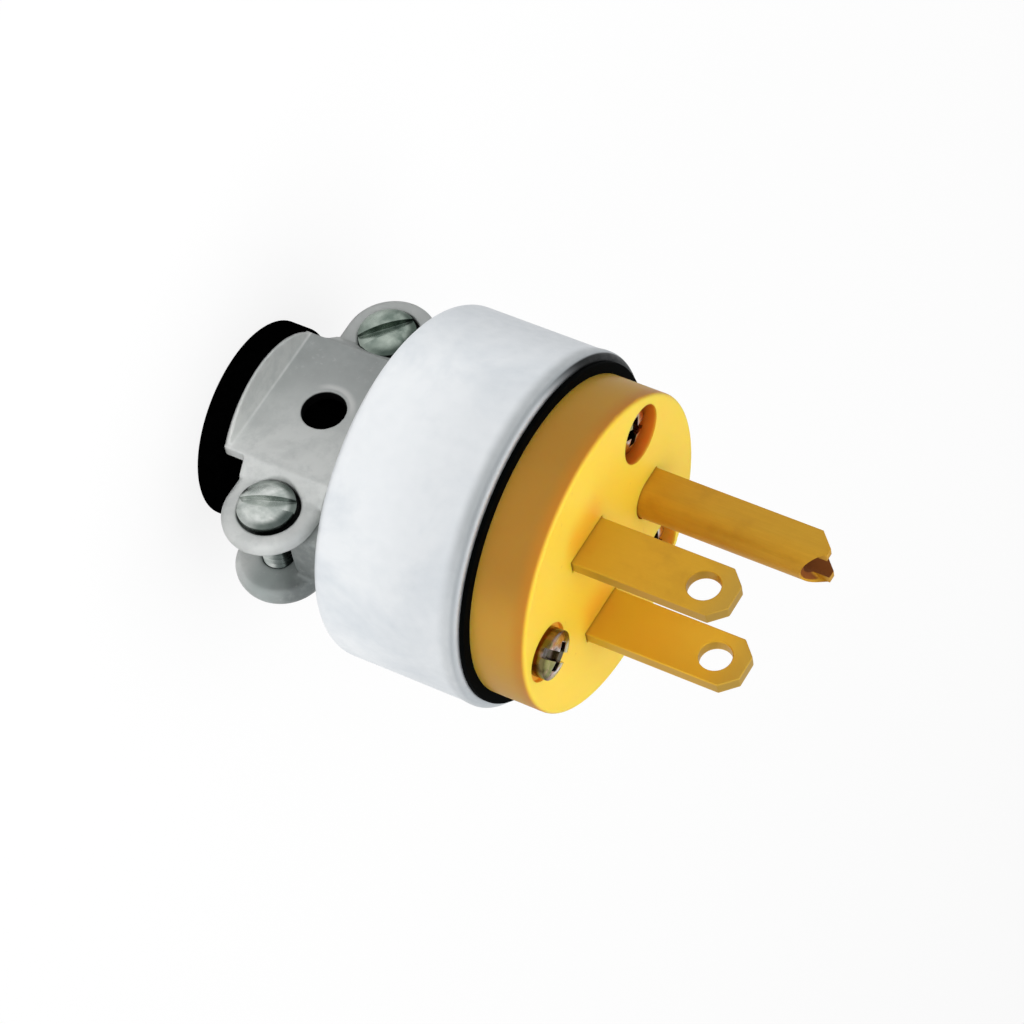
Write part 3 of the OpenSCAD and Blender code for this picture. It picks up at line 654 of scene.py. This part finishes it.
def castRecessShade(tree, look, place):  # painted shade in the hole and the screw seats, the seats darker towards the shell
    across, along = axes(tree, place)[::2]
    reach = spread(tree, place, look["holeMiddle"], fromSide)
    recessShade = product(tree, ease(tree, reach, look["holeReach"], (1, 0)), ease(tree, across, look["holeX"]))
    inward = ease(tree, across, look["seatInX"])
    outward = remap(tree, across, look["seatOutX"], (1, 0))
    for middle in look["seats"]:
        sunk = ease(tree, spread(tree, place, middle, fromSide), look["seatReach"], (1, 0))
        toShell = ease(tree, along, shifted(look["seatZ"], middle[2]), look["seatShare"])
        recessShade = largest(tree, recessShade, product(tree, sunk, toShell, inward, outward))
    return recessShade


def dullCast(look):
    material, tree, shader, place = startFinish("dullCast", look["metallic"], look["specular"])
    drift = cloud(tree, place, look["driftScale"], detail=4, roughness=0.55, warp=0.5)
    grain = cloud(tree, place, look["grainScale"], detail=4, roughness=0.65)
    spots = cloud(tree, place, look["mottleScale"], detail=5, roughness=0.65)
    colour = castTints(tree, look, place, tints(tree, drift, look["cast"]))
    pits = ease(tree, grain, look["pitSpan"], (look["pitShare"], 0))
    colour = blendTints(tree, pits, colour, look["pit"])
    mottle = ease(tree, spots, look["mottleSpan"], (look["mottleShare"], 0))
    colour = blendTints(tree, mottle, colour, look["mottle"])
    colour = blendTints(tree, holeRimHighlight(tree, look, place), colour, look["crease"])
    colour = blendTints(tree, castRecessShade(tree, look, place), colour, look["recessShade"])
    rough = remap(tree, grain, midGrain, look["rough"])
    endFinish(tree, shader, colour, rough, (drift, grain), look["bumps"])
    return material


clampFinish = dullCast(clampLook)
saddle = cadCopy("clamp_saddle", "clampSaddle")
softForm(saddle, clampLook["saddleGrid"], clampLook["saddlePasses"])
finishPiece(saddle, "clamp_saddle", clampFinish)
jaw = cadCopy("clamp_base", "clampJaw")
softForm(jaw, clampLook["baseGrid"], clampLook["basePasses"])
finishPiece(jaw, "clamp_base", clampFinish)
print("plug: clamp done")

# clamp screws, with a winding thread on each shank

clampScrewLook = {
    **screwLook, "edge": (0.12 * mm, 3), "washScale": 300, "markStretch": (1, 0.25, 0.25),
    "wash": [(0.3, (0.34, 0.385, 0.365)), (0.45, (0.61, 0.64, 0.62)), (0.55, (0.78, 0.80, 0.78)),
             (0.7, (0.89, 0.90, 0.89))],
    "mark": (0.22, 0.27, 0.25), "markShare": 0.4,
    "paintedShade": (0.05, 0.075, 0.065), "heads": screwSpots, "headFlat": fromSide,
    "ringReach": (2.2 * mm, 2.95 * mm), "ringStop": (4.425 * mm, 5.015 * mm),
    "ringZ": shifted((-0.5 * mm, 1.3 * mm), screwZ), "ringShare": (0.36, 0.8),
    "dim": (0.52, 0.58, 0.53), "dimY": (-6 * mm, 6 * mm), "dimShare": (0.32, 1),
    "shankX": (-4.4 * mm, -3.6 * mm), "shankShare": (0.1, 0.85),
    "pitch": 0.79 * mm, "ridge": 0.32 * mm, "ridgeSides": 4, "turnSteps": 28,
    "threadGap": 0.6 * mm, "threadEnd": 0.5 * mm,
    "headGrow": 1.1, "headShift": 0.2 * mm, "headEdge": 0.9, "slack": 0.02 * mm,
}


def shankShade(tree, look, place, colour):  # painted shade on the shanks, most on the side that faces the shell; the heads are only dimmed, the upper one most
    across, up, along = axes(tree, place)
    sunk = ease(tree, across, look["shankX"])
    dim = product(tree, ease(tree, up, look["dimY"], look["dimShare"]), sums(tree, "SUBTRACT", 1, sunk))
    colour = blendTints(tree, dim, colour, look["dim"], "MULTIPLY")
    side = ease(tree, along, look["ringZ"], look["shankShare"])
    return blendTints(tree, product(tree, sunk, side), colour, look["paintedShade"])


def windingTree(look, material):
    tree = bpy.data.node_groups.new("threadWinding", "GeometryNodeTree")
    tree.is_modifier = True
    tree.interface.new_socket("Geometry", in_out="OUTPUT", socket_type="NodeSocketGeometry")
    kinds = {"Start": "NodeSocketVector", "Core Radius": "NodeSocketFloat", "Ridge": "NodeSocketFloat",
             "Pitch": "NodeSocketFloat", "Length": "NodeSocketFloat", "Turn Steps": "NodeSocketInt"}
    for title, kind in kinds.items():
        tree.interface.new_socket(title, in_out="INPUT", socket_type=kind)
    add, link = tree.nodes.new, tree.links.new
    given = add("NodeGroupInput").outputs
    turns = add("ShaderNodeMath")
    turns.operation = "DIVIDE"
    link(given["Length"], turns.inputs[0])
    link(given["Pitch"], turns.inputs[1])
    spiral = add("GeometryNodeCurveSpiral")
    link(given["Turn Steps"], spiral.inputs["Resolution"])
    link(turns.outputs[0], spiral.inputs["Rotations"])
    link(given["Core Radius"], spiral.inputs["Start Radius"])
    link(given["Core Radius"], spiral.inputs["End Radius"])
    link(given["Length"], spiral.inputs["Height"])
    upright = add("GeometryNodeSetCurveNormal")
    upright.mode = "Z_UP"
    link(spiral.outputs["Curve"], upright.inputs["Curve"])
    ridge = add("GeometryNodeCurvePrimitiveCircle")
    ridge.inputs["Resolution"].default_value = look["ridgeSides"]
    link(given["Ridge"], ridge.inputs["Radius"])
    sweep = add("GeometryNodeCurveToMesh")
    sweep.inputs["Fill Caps"].default_value = True
    link(upright.outputs["Curve"], sweep.inputs["Curve"])
    link(ridge.outputs["Curve"], sweep.inputs["Profile Curve"])
    lay = add("GeometryNodeTransform")
    lay.inputs["Rotation"].default_value = (0, math.radians(90), 0)  # from z to x
    link(sweep.outputs["Mesh"], lay.inputs["Geometry"])
    link(given["Start"], lay.inputs["Translation"])
    real = add("GeometryNodeRealizeInstances")
    link(lay.outputs["Geometry"], real.inputs["Geometry"])
    paint = add("GeometryNodeSetMaterial")
    paint.inputs["Material"].default_value = material
    link(real.outputs["Geometry"], paint.inputs["Geometry"])
    out = add("NodeGroupOutput")
    link(paint.outputs["Geometry"], out.inputs["Geometry"])
    return tree


def threadAlong(tree, name, start, length, core, look):
    holder = bpy.data.objects.new(name, bpy.data.meshes.new(name))
    scene.collection.objects.link(holder)
    winding = holder.modifiers.new("winding", "NODES")
    winding.node_group = tree
    sizes = {"Start": start, "Core Radius": core, "Ridge": look["ridge"], "Pitch": look["pitch"],
             "Length": length, "Turn Steps": look["turnSteps"]}
    for item in tree.interface.items_tree:
        if item.in_out == "INPUT" and item.name in sizes:
            winding[item.identifier] = sizes[item.name]
    fixShape(holder)
    return holder


def addMesh(piece, other):
    shape = bmesh.new()
    shape.from_mesh(piece.data)
    shape.from_mesh(other.data)
    bmesh.ops.recalc_face_normals(shape, faces=shape.faces)
    shape.to_mesh(piece.data)
    shape.free()
    spare = other.data
    bpy.data.objects.remove(other)
    bpy.data.meshes.remove(spare)


def shapeScrew(piece, low, high, look):
    middle = (low + high) / 2
    verts = piece.data.vertices
    reach = [math.hypot(v.co.y - middle.y, v.co.z - middle.z) for v in verts]
    headRadius = (high.y - low.y) / 2
    shankRadius = max(r for r, v in zip(reach, verts) if v.co.x > high.x - look["threadEnd"])
    core = shankRadius - look["ridge"]
    headEnd = max(v.co.x for r, v in zip(reach, verts) if r > look["headEdge"] * headRadius)
    for r, v in zip(reach, verts):
        if abs(r - shankRadius) < look["slack"] and v.co.x > headEnd - look["slack"]:
            scale, shift = core / shankRadius, 0  # thin the shank to its thread root
        elif v.co.x < headEnd + look["slack"]:
            scale, shift = look["headGrow"], look["headShift"]  # fill the head out to its seat
        else:
            continue
        v.co.y = middle.y + (v.co.y - middle.y) * scale
        v.co.z = middle.z + (v.co.z - middle.z) * scale + shift
    return core, Vector((headEnd + look["threadGap"], middle.y, middle.z))


zincFinish = platedScrew("brightZinc", clampScrewLook, (headEdgeShade, shankShade))
threadTree = windingTree(clampScrewLook, zincFinish)
for node, name in clampScrews.items():
    low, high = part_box(node)
    clampScrew = cadCopy(node, name)
    core, start = shapeScrew(clampScrew, low, high, clampScrewLook)
    roundEdges(clampScrew, *clampScrewLook["edge"], firm=False)
    length = high.x - start.x - clampScrewLook["threadEnd"]
    addMesh(clampScrew, threadAlong(threadTree, name + "Thread", start, length, core, clampScrewLook))
    smoothShade(clampScrew)
    finishPiece(clampScrew, node, zincFinish)
print("plug: clamp screws done")

# rubber bushing

bushingLook = {
    "edge": (0.12 * mm, 4), "specular": 0.0, "rough": (0.8, 0.95),
    "grain": [(0.3, (0.0002, 0.0002, 0.0002)), (0.75, (0.0012, 0.0012, 0.0012))],
    "grainScale": 1600, "dentScale": 180, "bumps": [(0.2, 0.04 * mm), (0.1, 0.15 * mm)],
}
bushing = cadCopy("cord_bushing", "cordBushing")
roundEdges(bushing, *bushingLook["edge"])
finishPiece(bushing, "cord_bushing", dullBlack("bushingRubber", bushingLook))
print("plug: bushing done")

# terminals inside keep their own shapes and only get their finishes

insideLook = {
    "block": {"specular": 0.35, "rough": (0.45, 0.6), "grainScale": 800, "dentScale": 180,
              "grain": [(0.3, (0.035, 0.035, 0.038)), (0.75, (0.06, 0.06, 0.064))],
              "bumps": [(0.2, 0.04 * mm), (0.1, 0.15 * mm)]},
    "steel": {**screwLook, "rough": (0.3, 0.45), "washScale": 200, "markStretch": (1, 0.2, 1),
              "wash": [(0.3, (0.42, 0.43, 0.44)), (0.7, (0.58, 0.59, 0.60))],
              "mark": (0.28, 0.29, 0.30), "markShare": 0.3},
    "brass": {**screwLook, "rough": (0.25, 0.4), "washScale": 240,
              "wash": [(0.3, (0.55, 0.32, 0.06)), (0.7, (0.66, 0.42, 0.10))],
              "mark": (0.34, 0.18, 0.03), "markShare": 0.3},
    "silver": {**screwLook, "rough": (0.25, 0.4), "washScale": 240,
               "wash": [(0.3, (0.50, 0.52, 0.51)), (0.7, (0.72, 0.73, 0.72))],
               "mark": (0.30, 0.31, 0.31), "markShare": 0.3},
    "green": {**screwLook, "rough": (0.3, 0.45), "washScale": 240,
              "wash": [(0.3, (0.015, 0.13, 0.03)), (0.7, (0.03, 0.22, 0.06))],
              "mark": (0.01, 0.07, 0.02), "markShare": 0.4},
}
insideFinishes = {
    "terminal_block": dullBlack("blockPlastic", insideLook["block"]),
    "neutral_terminal_screw": platedScrew("silverScrew", insideLook["silver"]),
    "line_terminal_screw": platedScrew("brassScrew", insideLook["brass"]),
    "ground_terminal_screw": platedScrew("greenScrew", insideLook["green"]),
}
plateFinish = platedScrew("wirePlate", insideLook["steel"])
for node in ("neutral_wire_plate", "line_wire_plate", "ground_wire_plate"):
    insideFinishes[node] = plateFinish
for node, material in insideFinishes.items():
    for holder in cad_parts[node].material_slots:
        holder.material = material
print("plug: terminals done")

# pale floor, soft overhead light and the camera

studioLook = {
    "floorHalf": 4, "floorDrop": 0.05 * mm, "floorRough": 0.9, "floorGlow": 0.86,
    "floorSeen": (0.97, 0.97, 0.97), "floorBounce": (0.27, 0.27, 0.27),
    "white": (1, 1, 1), "softLevel": 0.22,
    "skyTints": [(0.50, (1, 1, 1)), (0.58, (0.60, 0.62, 0.63)), (0.82, (0.60, 0.62, 0.63)),
                 (0.95, (0.92, 0.93, 0.94))],
    "lampAim": (0, 0, 0.03),
    "lamps": [("overheadPanel", 3.3, 0.6, (0.0, -0.02, 0.66)), ("sidePanel", 0.95, 0.4, (-0.44, -0.10, 0.54)),
              ("lowPanel", 1.85, 0.4, (-0.39, -0.56, 0.17))],
}


def blendShaders(tree, share, first, second):
    node = tree.nodes.new("ShaderNodeMixShader")
    for socket, source in zip(node.inputs, (share, first, second)):
        tree.links.new(source, socket)
    return node.outputs["Shader"]


def seenRays(tree):
    path = tree.nodes.new("ShaderNodeLightPath").outputs
    mirrored = largest(tree, path["Is Glossy Ray"], path["Is Transmission Ray"])
    return largest(tree, path["Is Camera Ray"], mirrored)


def paleFloor(look):
    material = bpy.data.materials.new("paleFloor")
    material.use_nodes = True
    tree = material.node_tree
    shader = tree.nodes["Principled BSDF"]
    shader.inputs["Roughness"].default_value = look["floorRough"]
    shader.inputs["Specular IOR Level"].default_value = 0.0
    glow = tree.nodes.new("ShaderNodeEmission")
    seen = seenRays(tree)
    tint = blendTints(tree, seen, look["floorBounce"], look["floorSeen"])
    tree.links.new(tint, shader.inputs["Base Color"])
    share = product(tree, seen, look["floorGlow"])
    both = blendShaders(tree, share, shader.outputs["BSDF"], glow.outputs["Emission"])
    tree.links.new(both, tree.nodes["Material Output"].inputs["Surface"])
    return material


def studioWorld(look):
    world = bpy.data.worlds.new("softRoom")
    world.use_nodes = True
    tree = world.node_tree
    tree.nodes.clear()
    soft = tree.nodes.new("ShaderNodeBackground")
    soft.inputs["Color"].default_value = (*look["white"], 1)
    soft.inputs["Strength"].default_value = look["softLevel"]
    room = tree.nodes.new("ShaderNodeBackground")
    sky = axes(tree, tree.nodes.new("ShaderNodeTexCoord").outputs["Generated"])[2]
    level = tints(tree, remap(tree, sky, (-1, 1)), look["skyTints"])
    path = tree.nodes.new("ShaderNodeLightPath").outputs
    tree.links.new(blendTints(tree, path["Is Camera Ray"], level, look["white"]), room.inputs["Color"])
    both = blendShaders(tree, seenRays(tree), soft.outputs["Background"], room.outputs["Background"])
    tree.links.new(both, tree.nodes.new("ShaderNodeOutputWorld").inputs["Surface"])
    return world


half = studioLook["floorHalf"]
floorMesh = bpy.data.meshes.new("paleFloor")
floorCorners = [(-half, -half, 0), (half, -half, 0), (half, half, 0), (-half, half, 0)]
floorMesh.from_pydata(floorCorners, [], [(0, 1, 2, 3)])
floorMesh.materials.append(paleFloor(studioLook))
floor = bpy.data.objects.new("paleFloor", floorMesh)
floor.location.z = -studioLook["floorDrop"]
scene.collection.objects.link(floor)
scene.world = studioWorld(studioLook)

for name, power, size, place in studioLook["lamps"]:
    lampData = bpy.data.lights.new(name, "AREA")
    lampData.energy = power
    lampData.size = size
    lamp = bpy.data.objects.new(name, lampData)
    lamp.location = place
    lamp.rotation_mode = "QUATERNION"
    lamp.rotation_quaternion = (Vector(studioLook["lampAim"]) - lamp.location).to_track_quat("-Z", "Y")
    lamp.visible_glossy = False  # metals mirror the pale room alone
    scene.collection.objects.link(lamp)

cameraLook = {
    "place": (-0.37249, -0.21488, 0.21024), "right": (0.12816, 0.49128, 0.86156),
    "down": (0.58649, -0.73821, 0.33362), "ahead": (0.79991, 0.46254, -0.38265),
    "lens": 156.31, "sensor": 36, "clipStart": 0.01,
}
cameraData = bpy.data.cameras.new("photoCamera")
cameraData.sensor_width = cameraLook["sensor"]
cameraData.sensor_fit = "HORIZONTAL"
cameraData.lens = cameraLook["lens"]
cameraData.clip_start = cameraLook["clipStart"]
camera = bpy.data.objects.new("photoCamera", cameraData)
right, down, ahead = (Vector(cameraLook[key]) for key in ("right", "down", "ahead"))
turn = Matrix((right, -down, -ahead)).transposed().to_4x4()
camera.matrix_world = Matrix.Translation(cameraLook["place"]) @ turn
scene.collection.objects.link(camera)
scene.camera = camera
scene.view_settings.view_transform = "Standard"
print("plug: studio done")
